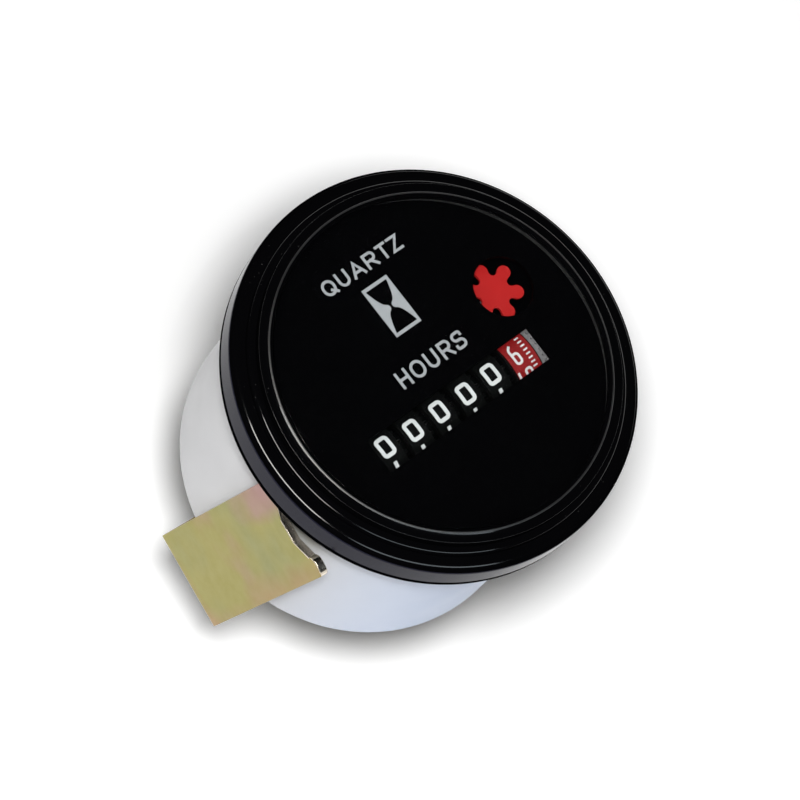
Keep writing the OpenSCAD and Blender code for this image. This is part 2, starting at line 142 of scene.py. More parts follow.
class PrintSettings(bpy.types.PropertyGroup):
    """Sizes and colours of the printed marks"""
    digit_height: bpy.props.FloatProperty(
        name="Digit height", description="Height of a digit on a black wheel", unit="LENGTH", default=3.08 * MM)
    digit_width: bpy.props.FloatProperty(
        name="Digit width", description="Width of a digit on a black wheel", unit="LENGTH", default=2.28 * MM)
    digit_stroke: bpy.props.FloatProperty(
        name="Digit stroke", description="Stroke of a digit on a black wheel", unit="LENGTH", default=0.57 * MM)
    minute_height: bpy.props.FloatProperty(
        name="Minute height", description="Height of a number on the red wheel", unit="LENGTH", default=3.1 * MM)
    minute_width: bpy.props.FloatProperty(
        name="Minute width", description="Width of a digit on the red wheel", unit="LENGTH", default=1.3 * MM)
    minute_stroke: bpy.props.FloatProperty(
        name="Minute stroke", description="Stroke of a digit on the red wheel", unit="LENGTH", default=0.36 * MM)
    minute_lift: bpy.props.FloatProperty(
        name="Minute lift", description="Distance of the shown minute above the counter's axis", unit="LENGTH",
        default=0.3 * MM)
    digit_lifts: bpy.props.FloatVectorProperty(
        name="Digit lifts", description="Distance of each black wheel's digit above the counter's axis", size=5,
        unit="LENGTH", default=(0.36 * MM, 0.01 * MM, 0.0, -0.11 * MM, 0.07 * MM))
    ink: bpy.props.FloatProperty(
        name="Ink thickness", description="Thickness of a printed mark", unit="LENGTH", default=0.02 * MM)
    digit_colour: bpy.props.FloatVectorProperty(
        name="Digit colour", description="White of the counter's digits",
        default=(0.47, 0.49, 0.49, 1), **COLOUR)
    word_colour: bpy.props.FloatVectorProperty(
        name="Dial print colour", description="Pale grey of the words and the sign on the dial",
        default=(0.255, 0.268, 0.28, 1), **COLOUR)


class MetalSettings(bpy.types.PropertyGroup):
    """Colours of the plated and plain metal"""
    zinc_yellow: bpy.props.FloatVectorProperty(
        name="Passivated yellow", description="Main colour of the passivated bracket",
        default=(0.282, 0.25, 0.054, 1), **COLOUR)
    zinc_pink: bpy.props.FloatVectorProperty(
        name="Passivated pink", description="Warm patches of the passivated bracket",
        default=(0.33, 0.185, 0.165, 1), **COLOUR)
    zinc_orange: bpy.props.FloatVectorProperty(
        name="Passivated orange", description="Warm edges of the passivated bracket",
        default=(0.33, 0.215, 0.085, 1), **COLOUR)
    zinc_green: bpy.props.FloatVectorProperty(
        name="Passivated green", description="Cool patches of the passivated bracket",
        default=(0.24, 0.237, 0.08, 1), **COLOUR)
    steel: bpy.props.FloatVectorProperty(
        name="Plated steel", description="Colour of the studs, nuts and washers",
        default=(0.62, 0.62, 0.63, 1), **COLOUR)
    thread_pitch: bpy.props.FloatProperty(
        name="Thread pitch", description="Pitch of the studs' thread", unit="LENGTH", default=0.7 * MM, min=0.3 * MM)


class StudioSettings(bpy.types.PropertyGroup):
    """Camera, lamps and floor"""
    azimuth: bpy.props.FloatProperty(
        name="Azimuth", description="Camera's turn round the meter's axis", unit="ROTATION",
        default=math.radians(-78.55))
    elevation: bpy.props.FloatProperty(
        name="Elevation", description="Camera's height above the dial's plane", unit="ROTATION",
        default=math.radians(63.56))
    roll: bpy.props.FloatProperty(
        name="Roll", description="Camera's turn about its own line of sight", unit="ROTATION",
        default=math.radians(41.94))
    distance: bpy.props.FloatProperty(
        name="Distance", description="Camera's distance from the point it aims at", unit="LENGTH", default=0.55)
    aim: bpy.props.FloatVectorProperty(
        name="Aim", description="Point that the camera aims at", subtype="TRANSLATION", unit="LENGTH", size=3,
        default=(-3.76 * MM, 0.0423 * MM, -1.97 * MM))
    lens: bpy.props.FloatProperty(
        name="Focal length", description="Camera's focal length in millimetres", default=180)
    key_power: bpy.props.FloatProperty(
        name="Key power", description="Power of the warm strip lamp that shines on the gloss", unit="POWER",
        default=2.1)
    fill_power: bpy.props.FloatProperty(
        name="Fill power", description="Power of the cooler strip lamp that shines on the gloss", unit="POWER",
        default=0.6)
    front_power: bpy.props.FloatProperty(
        name="Front power", description="Power of the front lamp that lights the colours", unit="POWER", default=2.95)
    lamp_distance: bpy.props.FloatProperty(
        name="Lamp distance", description="Distance of the strip lamps from the meter", unit="LENGTH", default=0.62)
    front_distance: bpy.props.FloatProperty(
        name="Front distance", description="Distance of the front lamp from the meter", unit="LENGTH", default=0.46)
    floor_drop: bpy.props.FloatProperty(
        name="Floor drop", description="Distance of the floor below the meter", unit="LENGTH", default=0.04)
    floor_glow: bpy.props.FloatProperty(
        name="Floor glow", description="White that the floor adds to its lit colour as a background", default=0.32)
    floor_colour: bpy.props.FloatVectorProperty(
        name="Floor colour", description="White of the floor",
        default=(0.97, 0.97, 0.97, 1), **COLOUR)


# Nodes

def add_node(tree, kind, values, **settings):
    """Adds a node with its settings, and links or sets its inputs by name or number"""
    node = tree.nodes.new(kind)
    for label, value in settings.items():
        setattr(node, label, value)
    for label, value in values.items():
        if isinstance(value, bpy.types.NodeSocket):
            tree.links.new(value, node.inputs[label])
        else:
            node.inputs[label].default_value = value
    return node


def new_group(name, inputs, outputs, kind="ShaderNodeTree"):
    """A node group with inputs (name, kind, default) and outputs (name, kind)"""
    group = bpy.data.node_groups.new(name, kind)
    for label, sort, *value in inputs:
        socket = group.interface.new_socket(label, in_out="INPUT", socket_type="NodeSocket" + sort)
        if value:
            socket.default_value = value[0]
    for label, sort in outputs:
        group.interface.new_socket(label, in_out="OUTPUT", socket_type="NodeSocket" + sort)
    return group, group.nodes.new("NodeGroupInput").outputs, group.nodes.new("NodeGroupOutput").inputs


def object_place(tree):
    return tree.nodes.new("ShaderNodeTexCoord").outputs["Object"]


def noise(tree, vector, scale, detail=3.0, rough=0.5):
    values = {"Vector": vector, "Scale": scale, "Detail": detail, "Roughness": rough}
    return add_node(tree, "ShaderNodeTexNoise", values).outputs["Fac"]


def ramp_between(tree, value, low, high, to_low, to_high):
    values = {"Value": value, "From Min": low, "From Max": high, "To Min": to_low, "To Max": to_high}
    return add_node(tree, "ShaderNodeMapRange", values).outputs["Result"]


def combine(tree, operation, *values):
    """Puts values or sockets through one math node"""
    return add_node(tree, "ShaderNodeMath", dict(enumerate(values)), operation=operation).outputs[0]


def mix_colour(tree, factor, first, second, blend="MIX"):
    values = {0: factor, 6: first, 7: second}
    return add_node(tree, "ShaderNodeMix", values, data_type="RGBA", blend_type=blend).outputs[2]


def grey_colour(tree, value):
    return add_node(tree, "ShaderNodeCombineColor", {0: value, 1: value, 2: value}).outputs[0]


# Shader groups that several finishes share

def make_grain_group():
    """Moulding grain: a roughness that varies over the surface, and a height for a bump"""
    group, given, out = new_group(
        "moulding_grain",
        (("Scale", "Float", 900.0), ("Roughness Low", "Float", 0.3), ("Roughness High", "Float", 0.4)),
        (("Roughness", "Float"), ("Height", "Float")))
    place = object_place(group)
    broad = noise(group, place, 160.0, 2.0)
    group.links.new(noise(group, place, given["Scale"]), out["Height"])
    group.links.new(ramp_between(group, broad, 0.3, 0.7, given["Roughness Low"], given["Roughness High"]),
                    out["Roughness"])
    return group


def make_dust_group():
    """Sparse dust and a slight unevenness of the colour"""
    group, given, out = new_group(
        "dust_and_tone",
        (("Colour", "Color", (0.5, 0.5, 0.5, 1)), ("Dust", "Color", (0.5, 0.5, 0.48, 1)),
         ("Dust Amount", "Float", 0.2), ("Tone Amount", "Float", 0.1)),
        (("Colour", "Color"),))
    place = object_place(group)
    specks = ramp_between(group, noise(group, place, 2600.0, 2.0), 0.72, 0.78, 0.0, 1.0)
    clumps = ramp_between(group, noise(group, place, 110.0), 0.5, 0.7, 0.0, 1.0)
    amount = combine(group, "MULTIPLY", combine(group, "MULTIPLY", specks, clumps), given["Dust Amount"])
    shade = grey_colour(group, ramp_between(group, noise(group, place, 70.0, 2.0), 0.3, 0.7, 0.8, 1.15))
    toned = mix_colour(group, given["Tone Amount"], given["Colour"], shade, "MULTIPLY")
    group.links.new(mix_colour(group, amount, toned, given["Dust"]), out["Colour"])
    return group


def make_drawn_group():
    """Fine drawing lines of metal along one axis"""
    group, given, out = new_group(
        "drawn_lines",
        (("Stretch", "Vector", (1.0, 1.0, 0.05)), ("Scale", "Float", 2500.0), ("Roughness Low", "Float", 0.25),
         ("Roughness High", "Float", 0.45)),
        (("Roughness", "Float"), ("Height", "Float")))
    stretched = add_node(group, "ShaderNodeVectorMath", {0: object_place(group), 1: given["Stretch"]},
                         operation="MULTIPLY").outputs[0]
    lines = noise(group, stretched, given["Scale"], 2.0)
    group.links.new(lines, out["Height"])
    group.links.new(ramp_between(group, lines, 0.3, 0.7, given["Roughness Low"], given["Roughness High"]),
                    out["Roughness"])
    return group


GROUPS = {}


def shared_group(name):
    makers = {"grain": make_grain_group, "dust": make_dust_group, "drawn": make_drawn_group}
    if name not in GROUPS:
        GROUPS[name] = makers[name]()
    return GROUPS[name]


def place_group(tree, name, **values):
    node = tree.nodes.new("ShaderNodeGroup")
    node.node_tree = shared_group(name)
    for label, value in values.items():
        node.inputs[label.replace("_", " ").title()].default_value = value
    return node


def add_bump(tree, height, strength, distance):
    bump = add_node(tree, "ShaderNodeBump", {"Strength": strength, "Distance": distance, "Height": height})
    tree.links.new(bump.outputs["Normal"], tree.nodes["Principled BSDF"].inputs["Normal"])


def new_material(name):
    material = bpy.data.materials.new(name)
    material.use_nodes = True
    return material, material.node_tree, material.node_tree.nodes["Principled BSDF"]


def moulded(name, colour, rough=(0.3, 0.42), grain=900.0, bump=0.15, dust=0.1, tone=0.25, specular=0.5):
    """Moulded plastic or paint with grain, dust and a slight unevenness"""
    material, tree, shader = new_material(name)
    surface = place_group(tree, "grain", scale=grain, roughness_low=rough[0], roughness_high=rough[1])
    tones = place_group(tree, "dust", colour=tuple(colour), dust_amount=dust, tone_amount=tone)
    tree.links.new(tones.outputs["Colour"], shader.inputs["Base Color"])
    tree.links.new(surface.outputs["Roughness"], shader.inputs["Roughness"])
    shader.inputs["Specular IOR Level"].default_value = specular
    add_bump(tree, surface.outputs["Height"], bump, 0.02 * MM)
    return material


def housing_white(name, colour, cool):
    """White moulding with painted cool light: its white is blended bluer towards its lower side"""
    material = moulded(name, colour, (0.38, 0.5), 1500.0, 0.12, 0.05, 0.12, 0.3)
    tree = material.node_tree
    tones = next(node for node in tree.nodes if node.type == "GROUP" and "Dust" in node.inputs)
    apart = add_node(tree, "ShaderNodeSeparateXYZ", {0: object_place(tree)}).outputs
    # Painted cool light: towards low Y, the lower side, the colour turns to the bluer white
    side = ramp_between(tree, apart["Y"], -26 * MM, -8 * MM, 1.0, 0.0)
    tree.links.new(mix_colour(tree, side, tuple(colour), tuple(cool)), tones.inputs["Colour"])
    return material


def bead_black(name, colour):
    """Black lacquer of the bead, duller and thicker than on the rims"""
    material = moulded(name, colour, (0.38, 0.44), 1400.0, 0.04, 0.1, 0.3, 1.0)
    material.node_tree.nodes["Principled BSDF"].inputs["IOR"].default_value = 1.8
    return material


def drawn_metal(name, colour, rough=(0.2, 0.35), stretch=(1, 1, 0.05), scale=2500.0, bump=0.2):
    """Drawn, turned or plated metal with fine lines"""
    material, tree, shader = new_material(name)
    lines = place_group(tree, "drawn", stretch=stretch, scale=scale, roughness_low=rough[0], roughness_high=rough[1])
    tones = place_group(tree, "dust", colour=tuple(colour), dust_amount=0.05, tone_amount=0.35)
    tree.links.new(tones.outputs["Colour"], shader.inputs["Base Color"])
    tree.links.new(lines.outputs["Roughness"], shader.inputs["Roughness"])
    shader.inputs["Metallic"].default_value = 1.0
    add_bump(tree, lines.outputs["Height"], bump, 0.01 * MM)
    return material


def passivated_zinc(name, metal):
    """Yellow passivated zinc: soft patches of yellow and grey-green, with orange edges and a pink upper corner"""
    material, tree, shader = new_material(name)
    place = object_place(tree)
    drift = noise(tree, place, 62.0, 2.0, 0.45)
    second = noise(tree, place, 85.0, 2.0, 0.45)
    fine = noise(tree, place, 420.0, 3.0, 0.6)
    apart = add_node(tree, "ShaderNodeSeparateXYZ", {0: place}).outputs
    across = combine(tree, "MULTIPLY_ADD", apart["Z"], 0.14, apart["Y"])
    bend = ramp_between(tree, apart["Z"], -46.0 * MM, -42.0 * MM, 0.16, 0.0)
    lower = ramp_between(tree, across, -12.8 * MM, -9.0 * MM, 0.3, 0.0)
    near = ramp_between(tree, apart["Z"], -22.0 * MM, -10.0 * MM, 0.0, 1.0)
    upper = ramp_between(tree, across, -6.5 * MM, -2.0 * MM, 0.0, 0.45)
    edges = combine(tree, "ADD", combine(tree, "ADD", bend, lower), drift)
    corner = combine(tree, "ADD", combine(tree, "MULTIPLY", near, upper), drift)
    cool = ramp_between(tree, second, 0.42, 0.66, 0.0, 1.0)
    warm = ramp_between(tree, edges, 0.62, 0.9, 0.0, 1.0)
    pink = ramp_between(tree, corner, 0.64, 0.9, 0.0, 1.0)
    tone = mix_colour(tree, cool, tuple(metal.zinc_yellow), tuple(metal.zinc_green))
    tone = mix_colour(tree, warm, tone, tuple(metal.zinc_orange))
    tone = mix_colour(tree, pink, tone, tuple(metal.zinc_pink))
    tree.links.new(tone, shader.inputs["Base Color"])
    tree.links.new(ramp_between(tree, fine, 0.3, 0.7, 0.36, 0.46), shader.inputs["Roughness"])
    shader.inputs["Metallic"].default_value = 0.85
    add_bump(tree, fine, 0.06, 0.01 * MM)
    return material


def clear_lens(name):
    """Clear moulded lens with the faint unevenness of a polished mould"""
    material, tree, shader = new_material(name)
    shader.inputs["Base Color"].default_value = (0.97, 0.985, 0.985, 1)
    shader.inputs["Transmission Weight"].default_value = 1.0
    shader.inputs["IOR"].default_value = 1.49
    surface = place_group(tree, "grain", scale=260.0, roughness_low=0.0, roughness_high=0.03)
    tree.links.new(surface.outputs["Roughness"], shader.inputs["Roughness"])
    return material


FINISHES = {}


def finish_for(slot):
    """The material of a record slot, made once"""
    if slot in FINISHES:
        return FINISHES[slot]
    scene = bpy.context.scene
    case, marks, metal = scene.hour_meter_case, scene.hour_meter_print, scene.hour_meter_metal
    deep_black = (0.0015, 0.0015, 0.002, 1)
    along_x, round_axis = (0.05, 1, 1), (0.1, 0.1, 1)
    # Moulded: colour, roughness range, grain scale, bump, dust, unevenness, specular level
    # Drawn metal: colour, roughness range, stretch of the lines, their scale, bump
    makers = {
        "bezel_black": (moulded, case.bezel_colour, (0.07, 0.11), 1400.0, 0.03, 0.25, 0.3, 0.5),
        "bezel_edge": (moulded, case.bezel_colour, (0.6, 0.7), 1400.0, 0.1, 0.1, 0.3, 0.0),
        "bezel_bead": (bead_black, case.bezel_colour),
        "bezel_wall": (moulded, case.wall_colour, (0.14, 0.2), 1400.0, 0.04, 0.2, 0.3, 0.04),
        "lens_clear": (clear_lens,),
        "gasket_black": (moulded, (0.012, 0.012, 0.012, 1), (0.7, 0.85), 1600.0, 0.3),
        "dial_black": (moulded, case.dial_colour, (0.55, 0.7), 3000.0, 0.1, 0.0, 0.25, 0.02),
        "housing_white": (housing_white, case.housing_colour, case.housing_cool),
        "bracket_zinc": (passivated_zinc, metal),
        "bracket_cut": (drawn_metal, (0.86, 0.78, 0.66, 1), (0.2, 0.28), (1, 1, 0.3), 1500.0, 0.05),
        "stud_zinc": (drawn_metal, metal.steel),
        "blade_tin": (drawn_metal, (0.66, 0.64, 0.57, 1), (0.25, 0.4)),
        "plate_moulded": (moulded, deep_black, (0.55, 0.7), 900.0, 0.15, 0.0, 0.25, 0.02),
        "brass_turned": (drawn_metal, (0.68, 0.5, 0.2, 1), (0.18, 0.32), round_axis),
        "frame_black": (moulded, deep_black, (0.55, 0.7), 900.0, 0.15, 0.0, 0.25, 0.05),
        "shaft_steel": (drawn_metal, (0.58, 0.58, 0.6, 1), (0.15, 0.28), along_x),
        "wheel_black": (moulded, (0.0014, 0.0016, 0.0016, 1), (0.4, 0.55), 2200.0, 0.2, 0.12, 0.3, 0.15),
        "wheel_red": (moulded, (0.165, 0.0035, 0.0045, 1), (0.45, 0.6), 2200.0, 0.15, 0.08, 0.3),
        "gear_grey": (moulded, (0.125, 0.123, 0.125, 1), (0.4, 0.55), 2200.0, 0.15, 0.0),
        "gear_white": (moulded, (0.7, 0.68, 0.6, 1), (0.4, 0.55)),
        "star_red": (moulded, (0.34, 0.008, 0.008, 1), (0.4, 0.55), 2000.0, 0.12, 0.05, 0.25),
        "arbor_grey": (moulded, (0.4, 0.4, 0.41, 1), (0.4, 0.55)),
        "rotor_dark": (moulded, (0.06, 0.06, 0.065, 1), (0.35, 0.5)),
        "stator_steel": (drawn_metal, (0.45, 0.45, 0.47, 1), (0.3, 0.45), along_x),
        "coil_copper": (drawn_metal, (0.5, 0.17, 0.06, 1), (0.25, 0.4), (0.2, 1, 0.2), 4500.0),
        "board_green": (moulded, (0.012, 0.1, 0.04, 1), (0.25, 0.35)),
        "can_metal": (drawn_metal, (0.62, 0.62, 0.63, 1), (0.15, 0.3), along_x),
        "chip_black": (moulded, (0.02, 0.02, 0.021, 1), (0.5, 0.65)),
        "digit_print": (moulded, marks.digit_colour, (0.5, 0.6), 3000.0, 0.1, 0.0, 0.1),
        "dial_print": (moulded, marks.word_colour, (0.5, 0.6), 3000.0, 0.1, 0.0, 0.1),
    }
    if slot not in makers:
        raise RuntimeError("no finish is written for slot " + slot)
    maker, *values = makers[slot]
    FINISHES[slot] = maker(slot, *values)
    return FINISHES[slot]


# Mesh tools

def slot_of(node):
    for row in frame["record"]["subparts"]:
        if row["node"] == node:
            return row["material_slot"]
    raise RuntimeError("no material slot for node " + node)


def body_of(node):
    return frame["nodes"][node]["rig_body"]


def add_piece(name, mesh, body, slot, material=None, nodes=()):
    """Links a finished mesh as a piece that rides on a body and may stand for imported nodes"""
    obj = bpy.data.objects.new(name, mesh)
    bpy.context.scene.collection.objects.link(obj)
    mesh.materials.clear()
    mesh.materials.append(finish_for(material or slot))
    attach(obj, body)
    if nodes:
        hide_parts(*nodes)
    return obj


def to_mesh(bm, name, smooth_angle=35.0):
    bmesh.ops.recalc_face_normals(bm, faces=bm.faces)
    mesh = bpy.data.meshes.new(name)
    bm.to_mesh(mesh)
    bm.free()
    soften(mesh, smooth_angle)
    return mesh


def soften(mesh, smooth_angle):
    for layer in ("custom_normal", "sharp_face", "sharp_edge"):
        if layer in mesh.attributes:
            mesh.attributes.remove(mesh.attributes[layer])
    mesh.shade_smooth()
    mesh.set_sharp_from_angle(angle=math.radians(smooth_angle))


def apply_modifiers(mesh, *settings):
    """Runs modifiers over a mesh and returns the plain result"""
    obj = bpy.data.objects.new("work", mesh)
    bpy.context.scene.collection.objects.link(obj)
    for kind, values in settings:
        modifier = obj.modifiers.new(kind.lower(), kind)
        for label, value in values.items():
            setattr(modifier, label, value)
    return plain_mesh(obj)


def plain_mesh(obj):
    """The evaluated mesh of a working object, which is then removed"""
    bpy.context.view_layer.update()
    depsgraph = bpy.context.evaluated_depsgraph_get()
    mesh = bpy.data.meshes.new_from_object(obj.evaluated_get(depsgraph))
    bpy.data.objects.remove(obj)
    return mesh


def node_copy(node, bevel=0.0, smooth_angle=35.0):
    """A merged, smooth-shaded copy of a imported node's mesh, with its sharp edges broken"""
    bm = bmesh.new()
    bm.from_mesh(frame["nodes"][node].data)
    bmesh.ops.remove_doubles(bm, verts=bm.verts, dist=0.0005 * MM)
    bmesh.ops.dissolve_limit(bm, angle_limit=math.radians(0.6), verts=bm.verts, edges=bm.edges)
    mesh = bpy.data.meshes.new(node)
    bm.to_mesh(mesh)
    bm.free()
    soften(mesh, smooth_angle)
    settings = []
    if bevel:
        settings.append(("BEVEL", {"width": bevel, "segments": 2, "limit_method": "ANGLE",
                                   "angle_limit": math.radians(smooth_angle), "use_clamp_overlap": True}))
    settings.append(("WEIGHTED_NORMAL", {"keep_sharp": True, "weight": 80}))
    return apply_modifiers(mesh, *settings)


def add_copy(node, bevel=0.0):
    """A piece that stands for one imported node"""
    return add_piece(node + "_form", node_copy(node, bevel), body_of(node), slot_of(node), nodes=(node,))


def end_tree(tree, instances, material, out):
    """Ends a Geometry Nodes tree with plain geometry and its material"""
    real = add_node(tree, "GeometryNodeRealizeInstances", {0: instances})
    paint = add_node(tree, "GeometryNodeSetMaterial", {"Geometry": real.outputs[0], "Material": material})
    tree.links.new(paint.outputs[0], out["Geometry"])


def run_tree(tree, mesh, values):
    """Runs a Geometry Nodes tree over a mesh with values for its named inputs, and returns the plain result"""
    obj = bpy.data.objects.new("work", mesh)
    bpy.context.scene.collection.objects.link(obj)
    modifier = obj.modifiers.new("nodes", "NODES")
    modifier.node_group = tree
    for item in tree.interface.items_tree:
        if item.in_out == "INPUT" and item.name in values:
            modifier[item.identifier] = values[item.name]
    return plain_mesh(obj)


def arc(centre, radius, start, end, steps=8):
    angles = [math.radians(start + (end - start) * i / steps) for i in range(steps + 1)]
    return [(centre[0] + radius * math.cos(a), centre[1] + radius * math.sin(a)) for a in angles]


def lathe(name, profile, turns, smooth_angle=35.0):
    """Turns a closed profile of (radius, height) points about the meter's axis"""
    bm = bmesh.new()
    rings = []
    for radius, height in profile:
        if radius < 1e-9:
            rings.append([bm.verts.new((0, 0, height))] * turns)
            continue
        angles = (2 * math.pi * i / turns for i in range(turns))
        rings.append([bm.verts.new((radius * math.cos(a), radius * math.sin(a), height)) for a in angles])
    for first, second in zip(rings, rings[1:] + rings[:1]):
        for i in range(turns):
            corners = []
            for vert in (first[i], first[(i + 1) % turns], second[(i + 1) % turns], second[i]):
                if vert not in corners:
                    corners.append(vert)
            if len(corners) > 2:
                bm.faces.new(corners)
    return to_mesh(bm, name, smooth_angle)


# Printed strokes

def rounded_path(points, radii, closed=False):
    """A path through the points with its corners rounded"""
    points = [Vector(p) for p in points]
    count = len(points)
    path = []
    for i, corner in enumerate(points):
        radius = radii[i] if isinstance(radii, (list, tuple)) else radii
        if radius <= 0 or (not closed and i in (0, count - 1)):
            path.append(corner)
            continue
        before, after = points[i - 1] - corner, points[(i + 1) % count] - corner
        a, b = before.normalized(), after.normalized()
        half = math.acos(max(-1, min(1, a.dot(b)))) / 2
        reach = min(radius / math.tan(half), before.length / 2, after.length / 2)
        radius = reach * math.tan(half)
        centre = corner + (a + b).normalized() * (radius / math.sin(half))
        start, end = corner + a * reach - centre, corner + b * reach - centre
        sweep = math.atan2(start.x * end.y - start.y * end.x, start.dot(end))
        steps = max(2, int(abs(sweep) / math.radians(12)))
        for k in range(steps + 1):
            turn = Matrix.Rotation(sweep * k / steps, 2)
            path.append(centre + turn @ start)
    return path


def spaced_path(path, closed, reach):
    """The same path with no step longer than reach and no doubled point"""
    result = []
    ends = path[1:] + path[:1] if closed else path[1:]
    for first, second in zip(path, ends):
        span = (second - first).length
        if span < 1e-9:
            continue
        steps = max(1, math.ceil(span / reach))
        result.extend(first.lerp(second, k / steps) for k in range(steps))
    if not closed:
        result.append(path[-1])
    return result


def add_ribbon(bm, path, width, place, ink, closed):
    """A thin closed band of print along a path"""
    count = len(path)
    rows = []
    for i, point in enumerate(path):
        before = path[i - 1] if i or closed else None
        after = path[(i + 1) % count] if i < count - 1 or closed else None
        into = (point - before).normalized() if before is not None else (after - point).normalized()
        away = (after - point).normalized() if after is not None else into
        side = Vector((-into.y - away.y, into.x + away.x)).normalized()
        side *= width / 2 / max(0.5, side.dot(Vector((-into.y, into.x))))
        left, right = point + side, point - side
        rows.append([bm.verts.new(place(p.x, p.y, h)) for p, h in
                     ((left, 0), (right, 0), (right, ink), (left, ink))])
    pairs = list(zip(rows, rows[1:] + (rows[:1] if closed else [])))
    for first, second in pairs:
        for k in range(4):
            bm.faces.new((first[k], first[(k + 1) % 4], second[(k + 1) % 4], second[k]))
    if not closed:
        bm.faces.new(rows[0][::-1])
        bm.faces.new(rows[-1])


# Strokes of a sign, in a unit box: points, corner roundings (a share of the box's width), closed or not
ROUND = 0.42
STROKES = {
    "0": [([(0, 0), (1, 0), (1, 1), (0, 1)], 0.24, True)],
    "1": [([(0.46, 1), (0.46, 0)], 0, False)],
    "2": [([(0, 0.76), (0, 1), (1, 1), (1, 0.56), (0, 0), (1, 0)], [0, ROUND, ROUND, 0.3, 0, 0], False)],
    "3": [([(0, 0.8), (0, 1), (1, 1), (1, 0.53), (0.4, 0.53)], ROUND, False),
          ([(0.4, 0.53), (1, 0.53), (1, 0), (0, 0), (0, 0.2)], ROUND, False)],
    "4": [([(0.6, 1), (0, 0.28), (1, 0.28)], 0, False), ([(0.72, 0.56), (0.72, 0)], 0, False)],
    "5": [([(0.94, 1), (0.08, 1), (0.08, 0.57), (1, 0.57), (1, 0), (0, 0), (0, 0.18)],
           [0, 0, 0, ROUND, ROUND, ROUND, 0], False)],
    "6": [([(0.5, 1), (0, 0.84), (0, 0), (1, 0), (1, 0.55), (0, 0.55)], [0, 0.7, ROUND, ROUND, ROUND, 0], False)],
    "7": [([(0, 1), (1, 1), (0.32, 0)], 0, False)],
    "8": [([(0.07, 0.53), (0.93, 0.53), (0.93, 1), (0.07, 1)], ROUND, True),
          ([(0, 0), (1, 0), (1, 0.53), (0, 0.53)], ROUND, True)],
    "9": [([(0.5, 0.12), (1, 0.25), (1, 1), (0, 1), (0, 0.45), (1, 0.45)], [0, 0.7, ROUND, ROUND, ROUND, 0], False)],
    "H": [([(0, 0), (0, 1)], 0, False), ([(1, 0), (1, 1)], 0, False), ([(0, 0.5), (1, 0.5)], 0, False)],
    "O": [([(0, 0), (1, 0), (1, 1), (0, 1)], 0.5, True)],
    "U": [([(0, 1), (0, 0), (1, 0), (1, 1)], 0.5, False)],
    "R": [([(0, 0), (0, 1)], 0, False), ([(0, 1), (1, 1), (1, 0.46), (0, 0.46)], [0, 0.4, 0.4, 0], False),
          ([(0.5, 0.46), (1.0, 0)], 0, False)],
    "S": [([(0.98, 0.8), (0.98, 1), (0.02, 1), (0.02, 0.52), (1, 0.5), (1, 0), (0, 0), (0, 0.2)],
           [0, 0.45, 0.45, 0.45, 0.45, 0.45, 0.45, 0], False)],
    "Q": [([(0, 0), (1, 0), (1, 1), (0, 1)], 0.5, True), ([(0.64, 0.26), (1.02, -0.02)], 0, False)],
    "A": [([(0, 0), (0.5, 1), (1, 0)], 0, False), ([(0.17, 0.3), (0.83, 0.3)], 0, False)],
    "T": [([(0, 1), (1, 1)], 0, False), ([(0.5, 1), (0.5, 0)], 0, False)],
    "Z": [([(0, 1), (1, 1), (0, 0), (1, 0)], 0, False)],
}


def add_sign(bm, sign, centre, width, height, stroke, place, ink, reach):
    """One digit or letter, its box centred at a place on the surface"""
    inner_w, inner_h = width - stroke, height - stroke
    for order, (points, radii, closed) in enumerate(STROKES[sign]):
        if not isinstance(radii, list):
            radii = [radii] * len(points)
        scaled = [(centre[0] + (x - 0.5) * inner_w, centre[1] + (y - 0.5) * inner_h) for x, y in points]
        path = rounded_path(scaled, [r * inner_w for r in radii], closed)
        if not closed:
            path.insert(0, path[0] + (path[0] - path[1]).normalized() * stroke / 2)
            path.append(path[-1] + (path[-1] - path[-2]).normalized() * stroke / 2)
        add_ribbon(bm, spaced_path(path, closed, reach), stroke, place, ink * (1 + 0.2 * order), closed)


def drum_place(turn):
    """Maps a flat place (x, arc length, height) on a number wheel to space"""
    def place(x, along, height):
        angle = turn + along / DRUM_R
        radius = DRUM_R + height
        return (x, ROW_Y + radius * math.sin(angle), AXLE_Z + radius * math.cos(angle))
    return place


def dial_place(x, y, height):
    return (x, y, DIAL_TOP + height)


# Operators, one for each piece or group of like pieces

